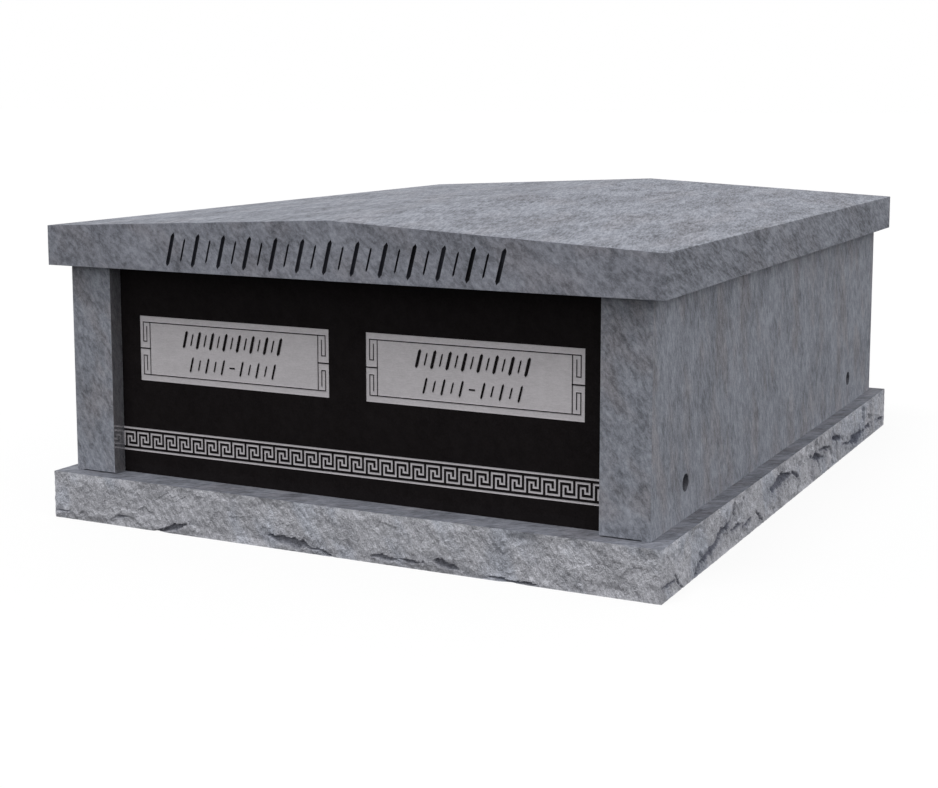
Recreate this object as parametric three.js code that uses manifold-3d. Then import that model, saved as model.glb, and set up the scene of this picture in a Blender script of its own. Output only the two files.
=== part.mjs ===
// Side-by-side crypt mausoleum in grey and black granite.
// Millimetres, +Z up. The front looks towards -Y, and the origin is the middle of the base's underside.
import * as THREE from "three";
import { mergeVertices } from "three/addons/utils/BufferGeometryUtils.js";
import Module from "manifold-3d";

// Driving dimensions of the slabs
const PLAN_WIDTH = 2082; // base and roof, left to right
const PLAN_DEPTH = 2706; // base and roof, front to back
const BASE_HEIGHT = 152;
const WALL_HEIGHT = 673;
const WALL_THICKNESS = 152;
const OVERHANG = 51; // base and roof past the outer faces of the walls
const PANEL_RECESS = 51; // front panel behind the front ends of the walls
const PANEL_THICKNESS = 76;
const EAVE_HEIGHT = 127; // roof slab at its long edges
const RIDGE_HEIGHT = 178; // roof slab along its middle

// Vent holes drilled through each side wall
const VENT_DIAMETER = 51;
const VENT_ABOVE_BASE = 107;
const VENT_FROM_FRONT = 285;
const VENT_FROM_BACK = 379;
const VENT_ARC_STEPS = 12;

// Rock-pitched faces of the base
const ROCK_STEP = 56; // facet length along a face
const ROCK_COURSES = 6; // facets up a face
const ROCK_PROUD = 5; // how far a face swells past its pitched edges
const ROCK_EDGE = 20; // run over which the relief dies out at an edge
const ROCK_WAVES = [
  { length: 1130, height: 3.2, lean: 0.4 },
  { length: 431, height: 3.6, lean: -0.9 },
  { length: 167, height: 2.8, lean: 0.7 },
];
// A hollow is broken out below its lip: its ends along the face, the lip's height at each end, drop and depth
const FRONT_HOLLOWS = [
  { from: 380, to: 560, lipFrom: 22, lipTo: 44, drop: 34, depth: 20 },
  { from: 780, to: 1060, lipFrom: 54, lipTo: 46, drop: 48, depth: 30 },
  { from: 1170, to: 1360, lipFrom: 40, lipTo: 42, drop: 40, depth: 24 },
  { from: 1380, to: 1500, lipFrom: 58, lipTo: 34, drop: 36, depth: 22 },
];
const SIDE_HOLLOWS = [
  { from: 270, to: 640, lipFrom: 34, lipTo: 124, drop: 44, depth: 24 },
  { from: 1000, to: 1350, lipFrom: 124, lipTo: 116, drop: 56, depth: 32 },
  { from: 1550, to: 1800, lipFrom: 104, lipTo: 104, drop: 44, depth: 22 },
  { from: 2050, to: 2540, lipFrom: 82, lipTo: 70, drop: 64, depth: 18 },
];
const HOLLOW_LIP = 0.45; // share of a hollow's drop that slopes in under the lip

// Rows of strokes: slanted, with pointed ends, in turn wide and tall, and narrow and short
const STROKE_LEAN = 0.25; // sideways run for each unit of height
const STROKE_TIP = 0.1; // length of a pointed end as a share of the stroke's height
const STROKE_SHORT = 0.7; // height of a narrow stroke as a share of the row's
const ROOF_ROW = { length: 1163, height: 106, count: 25, wide: 15, narrow: 7 };
const ROOF_ROW_ABOVE_UNDERSIDE = 69; // middle of the row
const ROOF_STROKE_DEPTH = 6;

// Blasted work on the front panel, all of it a little below the polished face
const BLAST_DEPTH = 1.5;
const CUT_OVERRUN = 10; // how far a cutting solid stands proud of the face that it cuts
const PLATE_WIDTH = 702;
const PLATE_HEIGHT = 208;
const PLATE_BELOW_TOP = 159; // top of a plate below the panel's top
const LEFT_PLATE_MARGIN = 76; // plate edge to the left wall
const RIGHT_PLATE_MARGIN = 66; // plate edge to the right wall
const PLATE_LINE = 3; // width of a line left polished
const PLATE_FRAME_INSET = 20; // top and bottom lines, in from the plate's edge
const PLATE_HOOK_INSETS = { outer: 12, inner: 25, column: 38 }; // upright lines, in from the plate's end
const PLATE_HOOK_TURN = 22.5; // foot of a hook, from the plate's mid-height
const PLATE_HOOK_END = 70; // end of a hook's inner line, from the plate's mid-height
const PLATE_MID_BAR = 4; // width of the bar across each end at mid-height
const UPPER_ROW = { length: 376, height: 58, count: 15, wide: 10, narrow: 5 };
const UPPER_ROW_RISE = 38; // middle of the row above the plate's mid-height
const LOWER_ROW = { length: 138, height: 51, count: 5, wide: 7, narrow: 5 };
const LOWER_ROW_RISE = -41;
const LOWER_ROW_SPREAD = 94; // middle of each half of the row from the plate's middle
const LOWER_ROW_DASH = { length: 20, width: 5 };

// Greek key band: a running key between two lines, drawn on a grid of cells
const KEY_CELLS_ACROSS = 254; // cells across the panel
const KEY_BAND_TOP = 524; // top of the upper line below the panel's top
const KEY_BAND_HEIGHT = 77.5;
const KEY_BAND_CELLS = 11; // cells in the band's height
const KEY_UNIT_CELLS = 8; // cells from one key to the next
// Corners of the line through one key: cell columns from its start, cell rows from its foot
const KEY_UNIT = [[0, 0], [0, 6], [6, 6], [6, 2], [4, 2], [4, 4], [2, 4], [2, 0]];
const KEY_FOOT_ROW = 2; // the key's foot above the foot of the lower line

// Places worked out from the driving dimensions
const WALL_REACH_X = PLAN_WIDTH / 2 - OVERHANG;
const WALL_REACH_Y = PLAN_DEPTH / 2 - OVERHANG;
const CHAMBER_REACH_X = WALL_REACH_X - WALL_THICKNESS;
const WALL_TOP = BASE_HEIGHT + WALL_HEIGHT;
const PANEL_WIDTH = 2 * CHAMBER_REACH_X;
const PANEL_FACE_Y = -WALL_REACH_Y + PANEL_RECESS;
const ROOF_FACE_Y = -PLAN_DEPTH / 2;

// Axes of an extrusion drawn in the X-Z plane and run forward, and of one drawn in Y-Z and run to the right
const FORWARD = new THREE.Matrix4().makeBasis(
  new THREE.Vector3(1, 0, 0), new THREE.Vector3(0, 0, 1), new THREE.Vector3(0, -1, 0));
const RIGHTWARD = new THREE.Matrix4().makeBasis(
  new THREE.Vector3(0, 1, 0), new THREE.Vector3(0, 0, 1), new THREE.Vector3(1, 0, 0));

const wasm = await Module();
wasm.setup();

function solidOf(geometry) {
  const bare = geometry.clone();
  bare.deleteAttribute("normal");
  bare.deleteAttribute("uv");
  const merged = mergeVertices(bare);
  return new wasm.Manifold(new wasm.Mesh({
    numProp: 3,
    vertProperties: new Float32Array(merged.attributes.position.array),
    triVerts: new Uint32Array(merged.index.array),
  }));
}

function geometryOf(solid) {
  const mesh = solid.getMesh();
  const geometry = new THREE.BufferGeometry();
  geometry.setAttribute("position", new THREE.BufferAttribute(mesh.vertProperties, 3));
  geometry.setIndex(new THREE.BufferAttribute(mesh.triVerts, 1));
  geometry.computeVertexNormals();
  return geometry;
}

function polygon(points) {
  return new THREE.Shape(points.map(([a, b]) => new THREE.Vector2(a, b)));
}

function rectangle(left, right, low, high) {
  return polygon([[left, low], [right, low], [right, high], [left, high]]);
}

// A shape drawn in the X-Z plane, run forward from one plane of Y to another
function runForward(shape, backY, frontY) {
  const geometry = new THREE.ExtrudeGeometry(shape, { depth: backY - frontY, bevelEnabled: false });
  return geometry.applyMatrix4(FORWARD).translate(0, backY, 0);
}

function addAll(solids) {
  return solids.reduce((whole, solid) => whole.add(solid));
}

// One slanted stroke with pointed ends, centred on a point
function stroke(x, z, width, height) {
  const half = height / 2;
  const shoulder = half - height * STROKE_TIP;
  const outline = [
    [-width / 2, -shoulder], [0, -half], [width / 2, -shoulder],
    [width / 2, shoulder], [0, half], [-width / 2, shoulder],
  ];
  return polygon(outline.map(([a, b]) => [x + a + STROKE_LEAN * b, z + b]));
}

function strokeRow(row, x, z) {
  const run = row.length - row.wide - STROKE_LEAN * row.height;
  return Array.from({ length: row.count }, (_, i) => {
    const middle = x + run * (i / (row.count - 1) - 0.5);
    const isWide = i % 2 === 0;
    return isWide
      ? stroke(middle, z, row.wide, row.height)
      : stroke(middle, z, row.narrow, row.height * STROKE_SHORT);
  });
}

// How far a rock-pitched face stands out from the plane of its edges
function rockRelief(face, along, height) {
  const edge = Math.min(along, face.length - along, height, BASE_HEIGHT - height);
  const fade = Math.min(1, edge / ROCK_EDGE);
  let relief = 0;
  for (const wave of ROCK_WAVES) {
    const turns = (along + wave.lean * height) / wave.length + face.phase;
    relief += wave.height * Math.sin(2 * Math.PI * turns);
  }
  for (const hollow of face.hollows) {
    relief -= hollowDepth(hollow, along, height);
  }
  return fade * Math.min(relief, ROCK_PROUD);
}

function hollowDepth(hollow, along, height) {
  const share = (along - hollow.from) / (hollow.to - hollow.from);
  const lip = THREE.MathUtils.lerp(hollow.lipFrom, hollow.lipTo, share);
  const below = (lip - height) / hollow.drop;
  if (share <= 0 || share >= 1 || below <= 0 || below >= 1) {
    return 0;
  }
  const slope = below < HOLLOW_LIP ? below / HOLLOW_LIP : (1 - below) / (1 - HOLLOW_LIP);
  return hollow.depth * slope * Math.sin(Math.PI * share);
}

function baseSlab() {
  const halfX = PLAN_WIDTH / 2;
  const halfY = PLAN_DEPTH / 2;
  // The four faces in order round the slab, each from its start corner along its run
  const faces = [
    { corner: [-halfX, -halfY], run: [1, 0], length: PLAN_WIDTH, phase: 0.1, hollows: FRONT_HOLLOWS },
    { corner: [halfX, -halfY], run: [0, 1], length: PLAN_DEPTH, phase: 0.35, hollows: SIDE_HOLLOWS },
    { corner: [halfX, halfY], run: [-1, 0], length: PLAN_WIDTH, phase: 0.6, hollows: FRONT_HOLLOWS },
    { corner: [-halfX, halfY], run: [0, -1], length: PLAN_DEPTH, phase: 0.85, hollows: SIDE_HOLLOWS },
  ];
  const outline = faces.flatMap(({ corner, run, length }) => {
    const count = Math.round(length / ROCK_STEP);
    return Array.from({ length: count }, (_, i) => [
      corner[0] + (run[0] * length * i) / count,
      corner[1] + (run[1] * length * i) / count,
    ]);
  });
  const geometry = new THREE.ExtrudeGeometry(polygon(outline), {
    depth: BASE_HEIGHT, steps: ROCK_COURSES, bevelEnabled: false,
  });
  const position = geometry.attributes.position;
  for (let i = 0; i < position.count; i += 1) {
    const [x, y, z] = [position.getX(i), position.getY(i), position.getZ(i)];
    for (const face of faces) {
      const [runX, runY] = face.run;
      const [fromX, fromY] = [x - face.corner[0], y - face.corner[1]];
      const isOnFace = fromX * runY - fromY * runX === 0;
      if (isOnFace) {
        const relief = rockRelief(face, fromX * runX + fromY * runY, z);
        position.setXY(i, x + runY * relief, y - runX * relief);
      }
    }
  }
  geometry.computeVertexNormals();
  return geometry;
}

// A side wall: its outline and vents drawn in the Y-Z plane
function sideWall(leftX) {
  const outline = rectangle(-WALL_REACH_Y, WALL_REACH_Y, BASE_HEIGHT, WALL_TOP);
  for (const y of [-WALL_REACH_Y + VENT_FROM_FRONT, WALL_REACH_Y - VENT_FROM_BACK]) {
    const vent = new THREE.Path();
    vent.absarc(y, BASE_HEIGHT + VENT_ABOVE_BASE, VENT_DIAMETER / 2, 0, 2 * Math.PI);
    outline.holes.push(vent);
  }
  const geometry = new THREE.ExtrudeGeometry(outline, {
    depth: WALL_THICKNESS, bevelEnabled: false, curveSegments: VENT_ARC_STEPS,
  });
  return geometry.applyMatrix4(RIGHTWARD).translate(leftX, 0, 0);
}

function backWall() {
  const outline = rectangle(-CHAMBER_REACH_X, CHAMBER_REACH_X, BASE_HEIGHT, WALL_TOP);
  return runForward(outline, WALL_REACH_Y, WALL_REACH_Y - WALL_THICKNESS);
}

// A cut into the panel's face, to the depth of the blasted work
function panelCut(shape) {
  return solidOf(runForward(shape, PANEL_FACE_Y + BLAST_DEPTH, PANEL_FACE_Y - CUT_OVERRUN));
}

// The line through the running key, widened to one cell by stepping half a cell to each side of it
function keyRibbon(cellWidth, cellHeight, left, foot) {
  const units = Math.ceil(KEY_CELLS_ACROSS / KEY_UNIT_CELLS);
  const keys = Array.from({ length: units }, (_, unit) =>
    KEY_UNIT.map(([column, row]) => [unit * KEY_UNIT_CELLS + column, row]));
  // It comes in from the left of the panel and runs out past its right edge
  const line = [[-1, 0], ...keys.flat(), [units * KEY_UNIT_CELLS, 0]];
  const headings = line.slice(1).map(([column, row], i) =>
    [Math.sign(column - line[i][0]), Math.sign(row - line[i][1])]);
  const banks = [1, -1].map((bank) => line.map(([column, row], i) => {
    const before = headings[Math.max(i - 1, 0)];
    const after = headings[Math.min(i, headings.length - 1)];
    // Half a cell to the left of each heading, in both directions at a corner
    const stepX = -(before[1] + (after[1] === before[1] ? 0 : after[1])) / 2;
    const stepZ = (before[0] + (after[0] === before[0] ? 0 : after[0])) / 2;
    return [
      left + (column + 0.5 + bank * stepX) * cellWidth,
      foot + (row + 0.5 + bank * stepZ) * cellHeight,
    ];
  }));
  return polygon([...banks[1], ...banks[0].reverse()]);
}

function keyBandCuts() {
  const cellWidth = PANEL_WIDTH / KEY_CELLS_ACROSS;
  const cellHeight = KEY_BAND_HEIGHT / KEY_BAND_CELLS;
  const high = WALL_TOP - KEY_BAND_TOP;
  const low = high - KEY_BAND_HEIGHT;
  const left = -CHAMBER_REACH_X;
  return [
    rectangle(left - CUT_OVERRUN, -left + CUT_OVERRUN, high - cellHeight, high),
    rectangle(left - CUT_OVERRUN, -left + CUT_OVERRUN, low, low + cellHeight),
    keyRibbon(cellWidth, cellHeight, left, low + KEY_FOOT_ROW * cellHeight),
  ].map(panelCut);
}

// Lines left polished on a plate: a frame whose corners turn in as hooks, and a bar across each end
function plateLines(x, z) {
  const half = PLATE_LINE / 2;
  const frameRise = PLATE_HEIGHT / 2 - PLATE_FRAME_INSET;
  const reach = {};
  for (const [name, inset] of Object.entries(PLATE_HOOK_INSETS)) {
    reach[name] = PLATE_WIDTH / 2 - inset;
  }
  const lines = [];
  const bar = (fromX, toX, fromZ, toZ, width) => lines.push(rectangle(
    x + Math.min(fromX, toX) - width, x + Math.max(fromX, toX) + width,
    z + Math.min(fromZ, toZ) - width, z + Math.max(fromZ, toZ) + width));
  for (const side of [-1, 1]) {
    bar(side * reach.column, side * reach.column, -frameRise, frameRise, half);
    bar(side * reach.column, side * PLATE_WIDTH / 2, 0, 0, PLATE_MID_BAR / 2);
    for (const end of [-1, 1]) {
      bar(side * reach.outer, side * reach.outer, end * PLATE_HOOK_TURN, end * frameRise, half);
      bar(side * reach.inner, side * reach.outer, end * PLATE_HOOK_TURN, end * PLATE_HOOK_TURN, half);
      bar(side * reach.inner, side * reach.inner, end * PLATE_HOOK_TURN, end * PLATE_HOOK_END, half);
    }
  }
  for (const end of [-1, 1]) {
    bar(-reach.outer, reach.outer, end * frameRise, end * frameRise, half);
  }
  return lines;
}

function plateCut(x, z) {
  const lowerZ = z + LOWER_ROW_RISE;
  const polished = [
    ...plateLines(x, z),
    ...strokeRow(UPPER_ROW, x, z + UPPER_ROW_RISE),
    ...strokeRow(LOWER_ROW, x - LOWER_ROW_SPREAD, lowerZ),
    ...strokeRow(LOWER_ROW, x + LOWER_ROW_SPREAD, lowerZ),
    rectangle(x - LOWER_ROW_DASH.length / 2, x + LOWER_ROW_DASH.length / 2,
      lowerZ - LOWER_ROW_DASH.width / 2, lowerZ + LOWER_ROW_DASH.width / 2),
  ];
  const [halfWidth, halfHeight] = [PLATE_WIDTH / 2, PLATE_HEIGHT / 2];
  const field = rectangle(x - halfWidth, x + halfWidth, z - halfHeight, z + halfHeight);
  return panelCut(field).subtract(addAll(polished.map(panelCut)));
}

function frontPanel() {
  const outline = rectangle(-CHAMBER_REACH_X, CHAMBER_REACH_X, BASE_HEIGHT, WALL_TOP);
  const slab = solidOf(runForward(outline, PANEL_FACE_Y + PANEL_THICKNESS, PANEL_FACE_Y));
  const plateZ = WALL_TOP - PLATE_BELOW_TOP - PLATE_HEIGHT / 2;
  const leftPlateX = -CHAMBER_REACH_X + LEFT_PLATE_MARGIN + PLATE_WIDTH / 2;
  const rightPlateX = CHAMBER_REACH_X - RIGHT_PLATE_MARGIN - PLATE_WIDTH / 2;
  const cuts = [...keyBandCuts(), plateCut(leftPlateX, plateZ), plateCut(rightPlateX, plateZ)];
  return geometryOf(slab.subtract(addAll(cuts)));
}

function roofSlab() {
  const gable = polygon([
    [-PLAN_WIDTH / 2, WALL_TOP],
    [PLAN_WIDTH / 2, WALL_TOP],
    [PLAN_WIDTH / 2, WALL_TOP + EAVE_HEIGHT],
    [0, WALL_TOP + RIDGE_HEIGHT],
    [-PLAN_WIDTH / 2, WALL_TOP + EAVE_HEIGHT],
  ]);
  const slab = solidOf(runForward(gable, -ROOF_FACE_Y, ROOF_FACE_Y));
  const strokes = strokeRow(ROOF_ROW, 0, WALL_TOP + ROOF_ROW_ABOVE_UNDERSIDE);
  const cuts = strokes.map((shape) =>
    solidOf(runForward(shape, ROOF_FACE_Y + ROOF_STROKE_DEPTH, ROOF_FACE_Y - CUT_OVERRUN)));
  return geometryOf(slab.subtract(addAll(cuts)));
}

function piece(name, geometry, finish) {
  const mesh = new THREE.Mesh(geometry, new THREE.MeshStandardMaterial({ ...finish, metalness: 0 }));
  mesh.name = name;
  return mesh;
}

const SAWN_GREY = { color: 0x74777e, roughness: 0.65 };
const ROCK_GREY = { color: 0x8b8c91, roughness: 0.9 };
const POLISHED_BLACK = { color: 0x141113, roughness: 0.15 };

const mausoleum = new THREE.Group();
mausoleum.add(
  piece("base_slab", baseSlab(), ROCK_GREY),
  piece("left_wall", sideWall(-WALL_REACH_X), SAWN_GREY),
  piece("right_wall", sideWall(CHAMBER_REACH_X), SAWN_GREY),
  piece("back_wall", backWall(), SAWN_GREY),
  piece("front_panel", frontPanel(), POLISHED_BLACK),
  piece("roof_slab", roofSlab(), SAWN_GREY),
);

export default mausoleum;
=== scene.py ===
import math
from collections import namedtuple

import bmesh
import bpy
from bpy.props import FloatProperty, FloatVectorProperty, PointerProperty
from bpy.types import Operator, Panel, PropertyGroup
from mathutils import Matrix, Vector, noise


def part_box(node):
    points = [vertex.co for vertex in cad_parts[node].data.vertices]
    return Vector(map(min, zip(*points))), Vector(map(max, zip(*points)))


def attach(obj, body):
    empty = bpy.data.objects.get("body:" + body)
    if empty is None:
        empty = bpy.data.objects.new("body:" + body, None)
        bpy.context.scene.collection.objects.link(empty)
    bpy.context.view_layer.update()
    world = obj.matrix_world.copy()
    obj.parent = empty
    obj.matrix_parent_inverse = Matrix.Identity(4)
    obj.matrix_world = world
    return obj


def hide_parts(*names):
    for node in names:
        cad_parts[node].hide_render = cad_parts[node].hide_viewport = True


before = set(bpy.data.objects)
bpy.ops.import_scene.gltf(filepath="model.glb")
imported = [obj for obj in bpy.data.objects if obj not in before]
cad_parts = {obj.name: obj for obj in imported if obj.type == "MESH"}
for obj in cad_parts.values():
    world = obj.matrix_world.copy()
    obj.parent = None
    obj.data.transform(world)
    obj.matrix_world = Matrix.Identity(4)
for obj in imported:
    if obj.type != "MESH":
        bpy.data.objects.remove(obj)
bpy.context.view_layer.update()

bl_info = {
    "name": "Crypt mausoleum finishes",
    "version": (1, 0, 0),
    "blender": (4, 5, 0),
    "location": "View3D > Sidebar > Mausoleum",
    "description": "Sawn, rock-pitched, polished and blasted granite for a side-by-side crypt mausoleum",
    "category": "Object",
}

# Metres, +Z up, front towards -Y. Slab sizes come from the frame.
ROOF_LOW, ROOF_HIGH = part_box("roof_slab")
PANEL_LOW, PANEL_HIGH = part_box("front_panel")
WALL_LOW, WALL_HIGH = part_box("right_wall")
BASE_TOP = WALL_LOW.z

UP = Vector((0.0, 0.0, 1.0))
WHITE = (1.0, 1.0, 1.0, 1.0)
TOUCHING = 1e-5  # places closer than this are one
FACING = 0.9  # part of a normal that lies along Y from which a face is a front or a back
ARRIS_ANGLE = math.radians(30)  # edges where faces meet at more than this are eased
ARRIS_SEGMENTS = 3
VENT_SIDES = 48
CUT_OVERRUN = 0.01  # how far a cutter stands past the face that it cuts
STROKE_OVERRUN = 0.001  # the same for the roof's strokes, whose sides slope
SENSOR_WIDTH = 36.0  # millimetres

# Places of the finishes on pieces that have more than one
BASE_SAWN = 1
WALL_RETURN = 1
WALL_END = 2
ROOF_GABLE = 1

StrokeRow = namedtuple("StrokeRow", "length height count wide narrow")
ROOF_ROW = StrokeRow(length=1.163, height=0.106, count=25, wide=0.015, narrow=0.007)
UPPER_ROW = StrokeRow(length=0.376, height=0.058, count=15, wide=0.010, narrow=0.005)
LOWER_ROW = StrokeRow(length=0.138, height=0.051, count=5, wide=0.007, narrow=0.005)
ROOF_ROW_RISE = 0.069  # middle of the row above the roof's underside
UPPER_ROW_RISE = 0.038  # middle of the row above the plate's mid-height
LOWER_ROW_RISE = -0.041
LOWER_ROW_SPREAD = 0.094  # middle of each half of the row from the plate's middle
LOWER_ROW_DASH = (0.020, 0.005)

# Lines left polished on a plate: distances in from its edge, and heights from its middle
FRAME_INSET = 0.020
HOOK_OUTER = 0.012
HOOK_INNER = 0.025
HOOK_COLUMN = 0.038
HOOK_TURN = 0.0225
HOOK_END = 0.070
MID_BAR = 0.004

# Running key: corners of the line through one key, in cell columns and in cell rows from its foot
KEY_UNIT = ((0, 0), (0, 6), (6, 6), (6, 2), (4, 2), (4, 4), (2, 4), (2, 0))
KEY_UNIT_CELLS = 8
KEY_FOOT_ROW = 2
KEY_BAND_CELLS = 11
KEY_CELLS_ACROSS = 254
KEY_SPARE = 1  # cells by which the band runs past the panel at each end

# A hollow is broken out of a rock face below its lip. Its start and its end lie along the face, the lip's
# height is given at both, drop is the height of the hollow and depth is how far it goes into the stone.
Hollow = namedtuple("Hollow", "start end lip_start lip_end drop depth")
RockFace = namedtuple("RockFace", "corner run length phase boldness shade hollows")
RockWave = namedtuple("RockWave", "length height lean")
ROCK_WAVES = (
    RockWave(length=1.130, height=0.0032, lean=0.4),
    RockWave(length=0.431, height=0.0036, lean=-0.9),
    RockWave(length=0.167, height=0.0028, lean=0.7),
)
FRONT_HOLLOWS = (
    Hollow(0.000, 0.075, 0.030, 0.026, 0.010, 0.005),
    Hollow(0.225, 0.300, 0.024, 0.040, 0.011, 0.005),
    Hollow(0.385, 0.550, 0.006, 0.052, 0.022, 0.012),
    Hollow(0.790, 1.030, 0.052, 0.032, 0.034, 0.014),
    Hollow(0.980, 1.060, 0.036, 0.004, 0.014, 0.009),
    Hollow(1.170, 1.290, 0.034, 0.026, 0.022, 0.009),
    Hollow(1.270, 1.370, 0.034, 0.026, 0.015, 0.008),
    Hollow(1.375, 1.500, 0.048, 0.026, 0.024, 0.011),
    Hollow(1.520, 1.750, 0.010, 0.006, 0.012, 0.008),
)
SIDE_HOLLOWS = (
    Hollow(0.000, 0.115, 0.054, 0.048, 0.018, 0.009),
    Hollow(0.075, 0.185, 0.080, 0.002, 0.020, 0.009),
    Hollow(0.235, 0.670, 0.010, 0.130, 0.036, 0.014),
    Hollow(0.230, 0.660, 0.000, 0.124, 0.022, 0.018),
    Hollow(0.610, 0.755, 0.060, 0.052, 0.012, 0.007),
    Hollow(0.710, 0.840, 0.036, 0.060, 0.012, 0.007),
    Hollow(0.840, 0.950, 0.074, 0.014, 0.017, 0.009),
    Hollow(0.990, 1.310, 0.114, 0.120, 0.050, 0.016),
    Hollow(1.250, 1.390, 0.122, 0.062, 0.018, 0.011),
    Hollow(1.540, 1.720, 0.112, 0.082, 0.040, 0.014),
    Hollow(1.670, 1.810, 0.106, 0.094, 0.022, 0.011),
    Hollow(1.830, 2.005, 0.126, 0.094, 0.038, 0.014),
    Hollow(1.980, 2.090, 0.060, 0.052, 0.015, 0.008),
    Hollow(2.040, 2.380, 0.074, 0.064, 0.056, 0.015),
    Hollow(2.350, 2.500, 0.064, 0.050, 0.028, 0.010),
    Hollow(2.565, 2.700, 0.054, 0.040, 0.014, 0.008),
)
HOLLOW_LIP = 0.35  # share of half a hollow's drop that slopes in under the lip
HOLLOW_FOOT = 0.85  # share of half its drop that slopes out again at its foot
HOLLOW_TAPER = 0.4  # share of a hollow's run over which it narrows at each end
HOLLOW_DARKEST = 0.006  # depth at which the painted shade in a hollow is as dark as it gets
HALO_REACH = 1.5  # width of the painted shade round a hollow as a share of half its drop
HALO_SHADE = 0.3  # painted shade there as a share of the painted shade in the hollow
FRONT_BOLDNESS = 0.5  # slope of the facets on the front and the back, times the setting
SIDE_BOLDNESS = 1.8  # the same on the two sides
FRONT_SHADE = 0.8  # painted shade of the hollows on the front and the back as a share of the full painted shade
SIDE_SHADE = 1.0
FACET_STEP = 2.3  # how much finer the second set of facets is than the first
LEAN_SPREAD = 7.3  # how far apart the leans of neighbouring facets are drawn
WANDER_WAVES = 20.0  # waves to the metre in the wander of the hollows
WANDER_OCTAVES = 2
RAGGED_WAVES = 60.0  # waves to the metre in the wander of the pitched edges
BREAK_DECAY = 0.8  # how fast the finer parts of frays and chips grow weaker
BREAK_STEP = 2.0  # how much finer each part is than the one before
FRAY_OCTAVES = 4
CHIP_OCTAVES = 3
CHIP_FALL = math.radians(69)  # how steeply the chips run down to the right
CHIP_HOLD = 3.0  # how many times closer to an edge the chips keep their height than the swell does
ROCK_SEED = 1  # draws the leans of the facets and the wander of the hollows

# Directions across the stone's bedding, which the fibres lie square to
WALL_BEDDING = Vector((1.73, 3.2, 1.0))
END_BEDDING = Vector((1.73, 2.4, 1.0))  # as it shows on the ends of the side walls
ROOF_BEDDING = Vector((1.43, 1.1, 1.0))
GABLE_BEDDING = Vector((0.98, 2.2, 1.0))  # as it shows on the front and the back of the roof
LEDGE_BEDDING = Vector((1.0, -1.2, 0.4))
ROCK_BEDDING = Vector((1.7, 1.4, 1.0))

# How much finer the stone's pattern is along each axis
EVEN_RUN = (1.0, 1.0, 1.0)
ROOF_RUN = (1.0, 0.4, 1.0)  # drawn out from front to back
END_RUN = (1.2, 1.2, 1.2)  # the front and back ends of roof and walls

# Length of a fibre for its width
WALL_STRETCH = 6.0
END_STRETCH = 2.8

# Places in the stone that the slabs are cut from, so that no two look alike
BASE_ROCK_PLACE = (2, 1, 3)
BASE_TOP_PLACE = (5, 2, 1)
LEFT_WALL_PLACE = (4, 3, 1)
RIGHT_WALL_PLACE = (0, 2, 5)
BACK_WALL_PLACE = (3, 1, 2)
ROOF_PLACE = (1, 4, 2)
PANEL_PLACE = (0, 0, 0)

# Make-up of the grain
BLOTCH_SQUEEZE = 2.6
CLOT_SQUEEZE = 1.7
BLOTCH_SHARE = 0.40
CLOUD_SHARE = 0.22
CRYSTAL_RELIEF = 0.6  # share of the fine relief that the crystals have


def length(name, description, default):
    """A size in metres."""
    return FloatProperty(name=name, description=description, default=default, min=0.0,
                         precision=4, subtype="DISTANCE", unit="LENGTH")


def share(name, description, default):
    """A plain ratio."""
    return FloatProperty(name=name, description=description, default=default, subtype="FACTOR",
                         min=0.0, max=1.0)


def colour(name, description, default):
    """A linear colour with full alpha."""
    return FloatVectorProperty(name=name, description=description, default=(*default, 1.0), size=4,
                               subtype="COLOR", min=0.0, max=1.0)


class SlabSettings(PropertyGroup):
    """Sawn slabs and the vents through the side walls"""
    roof_arris: length("Roof arris", "Width of the eased edges of the roof", 0.0012)
    wall_arris: length("Wall arris", "Width of the eased edges of the walls", 0.0012)
    panel_arris: length("Panel arris", "Width of the eased edges of the black panel", 0.0015)
    back_arris: length("Back arris", "Width of the eased edges of the back wall", 0.003)
    joint_height: length("Joint height", "Height of the open joint under a wall's front end", 0.004)
    joint_depth: length("Joint depth", "Depth of the open joint under a wall's front end", 0.012)
    joint_stop: length("Joint stop", "Length of the joint that is filled at the outer corner", 0.025)
    vent_diameter: length("Vent diameter", "Bore of a vent hole", 0.051)
    vent_flare: length("Vent flare", "Width of the worn rim round a vent", 0.001)
    vent_rise: length("Vent height", "Middle of a vent above the base", 0.107)
    vent_from_front: length("Front vent", "Front vent's distance from the wall's front end", 0.285)
    vent_from_back: length("Back vent", "Back vent's distance from the wall's back end", 0.379)


class RockSettings(PropertyGroup):
    """Rock-pitched faces of the base"""
    cell: length("Cell", "Mesh cell on the rock faces", 0.0041)
    stand_out: length("Stand out", "How far the pitched edges stand past the roof's edges", 0.002)
    proud: length("Swell", "How far a face swells past its pitched edges", 0.005)
    edge_run: length("Edge run", "Run over which the swell dies out at an edge", 0.020)
    facet_size: length("Facet size", "Width of a broken facet", 0.070)
    facet_slope: share("Facet slope", "How steeply facets lean", 0.16)
    chip_size: length("Chip size", "Width of the small chips on the facets", 0.012)
    chip_height: length("Chip height", "Height of the small chips", 0.0030)
    chip_stretch: FloatProperty(name="Chip stretch", description="Length of a chip for its width",
                                default=2.2)
    lip_wander: length("Lip wander", "How far the lips of the hollows wander", 0.006)
    fray: share("Fray", "How far a hollow's outline is frayed, as a share of half its drop", 0.4)
    fray_size: length("Fray size", "Width of the frays in a hollow's outline", 0.018)
    ragged: length("Ragged edge", "How far the pitched edges wander", 0.0016)


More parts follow.
